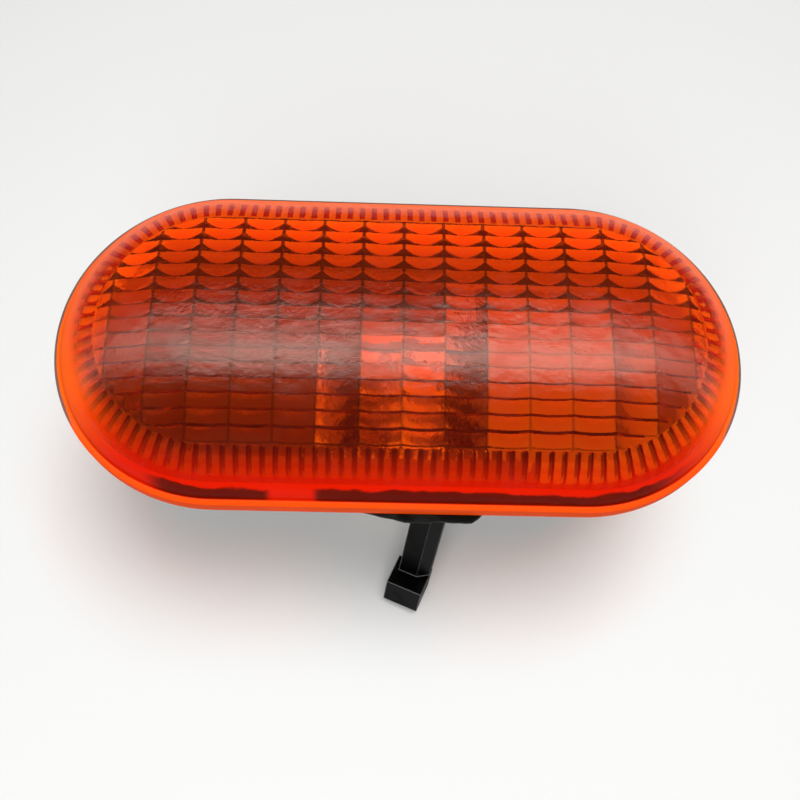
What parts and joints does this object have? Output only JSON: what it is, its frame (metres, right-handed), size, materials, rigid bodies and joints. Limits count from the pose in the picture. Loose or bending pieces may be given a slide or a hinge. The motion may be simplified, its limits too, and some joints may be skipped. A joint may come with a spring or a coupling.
{
  "type": "side repeater lamp",
  "caption": "Obround amber side repeater lamp with a domed pillow-optic lens, black rear tub, twist-in bulb holder and a sprung retaining leg.",
  "frame": {"origin": "centre of the panel face, the plane on which the gasket meets the body panel", "axes": "+Z out of the lens, X along the lens, +Y towards the two fixed hooks"},
  "size_m": [0.084, 0.047, 0.0503],
  "materials": {
    "amber_lens": "clear amber plastic, lightly scuffed",
    "sealant": "black bead",
    "housing_plastic": "moulded black",
    "gasket_rubber": "matt",
    "leg_plastic": "moulded black, slight sheen",
    "holder_plastic": "natural nylon",
    "bulb_glass": "clear",
    "wire_metal": "drawn wire",
    "contact_brass": "stamped"
  },
  "bodies": {
    "root": {"lens": "amber_lens", "lens_sealant": "sealant", "housing": "housing_plastic", "panel_gasket": "gasket_rubber", "retaining_leg": "leg_plastic", "bulb_holder": "holder_plastic", "holder_seal": "gasket_rubber", "bulb_glass": "bulb_glass", "filament": "wire_metal", "lead_wire_left": "wire_metal", "lead_wire_right": "wire_metal", "contact_front": "contact_brass", "contact_back": "contact_brass"}
  },
  "joints": []
}
